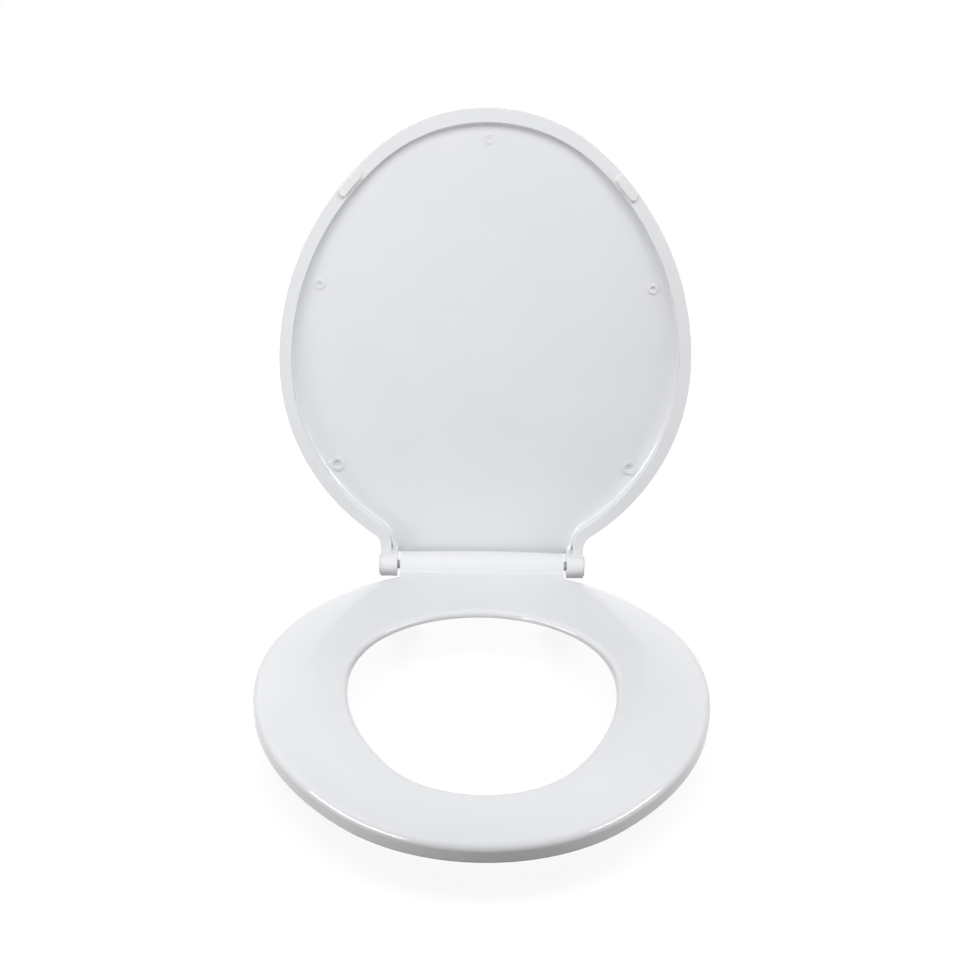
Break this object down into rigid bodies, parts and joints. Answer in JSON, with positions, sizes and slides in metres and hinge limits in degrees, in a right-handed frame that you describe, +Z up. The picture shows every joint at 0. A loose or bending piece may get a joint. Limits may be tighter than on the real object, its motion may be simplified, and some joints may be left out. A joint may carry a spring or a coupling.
{
  "type": "toilet seat",
  "caption": "Round-front toilet seat with a hinged lid, both moulded in glossy white plastic and hung on eye bolts that clamp through the pan.",
  "frame": {"origin": "on the top of the pan, midway between the two fixing bolts", "axes": "+Z up, +X to the right of someone facing the seat from the front, front of the seat towards -Y; seat down, lid standing open"},
  "size_m": [0.3656, 0.4403, 0.4775],
  "materials": {
    "seat_plastic": "smooth glossy white moulding",
    "lid_plastic": "smooth glossy white moulding",
    "fixing_plastic": "satin white moulding",
    "washer_rubber": "soft pale grey",
    "pad_rubber": "soft white"
  },
  "bodies": {
    "fixings": {"hinge_bolt_right": "fixing_plastic", "hinge_bolt_left": "fixing_plastic", "hinge_pin_right": "fixing_plastic", "hinge_pin_left": "fixing_plastic", "upper_washer_right": "washer_rubber", "upper_washer_left": "washer_rubber", "lower_washer_right": "washer_rubber", "lower_washer_left": "washer_rubber", "wing_nut_right": "fixing_plastic", "wing_nut_left": "fixing_plastic"},
    "seat": {"seat_ring": "seat_plastic", "seat_buffer_front_right": "pad_rubber", "seat_buffer_front_left": "pad_rubber", "seat_buffer_rear_right": "pad_rubber", "seat_buffer_rear_left": "pad_rubber"},
    "lid": {"lid": "lid_plastic", "lid_buffer_right": "pad_rubber", "lid_buffer_left": "pad_rubber"}
  },
  "joints": [
    {"name": "seat_hinge", "type": "hinge", "parent": "fixings", "child": "seat", "pos_m": [0, 0, 0.0276], "axis": [-1, 0, 0], "range_deg": [0, 91]},
    {"name": "lid_hinge", "type": "hinge", "parent": "seat", "child": "lid", "pos_m": [0, 0, 0.0276], "axis": [-1, 0, 0], "range_deg": [-91, 0]}
  ]
}
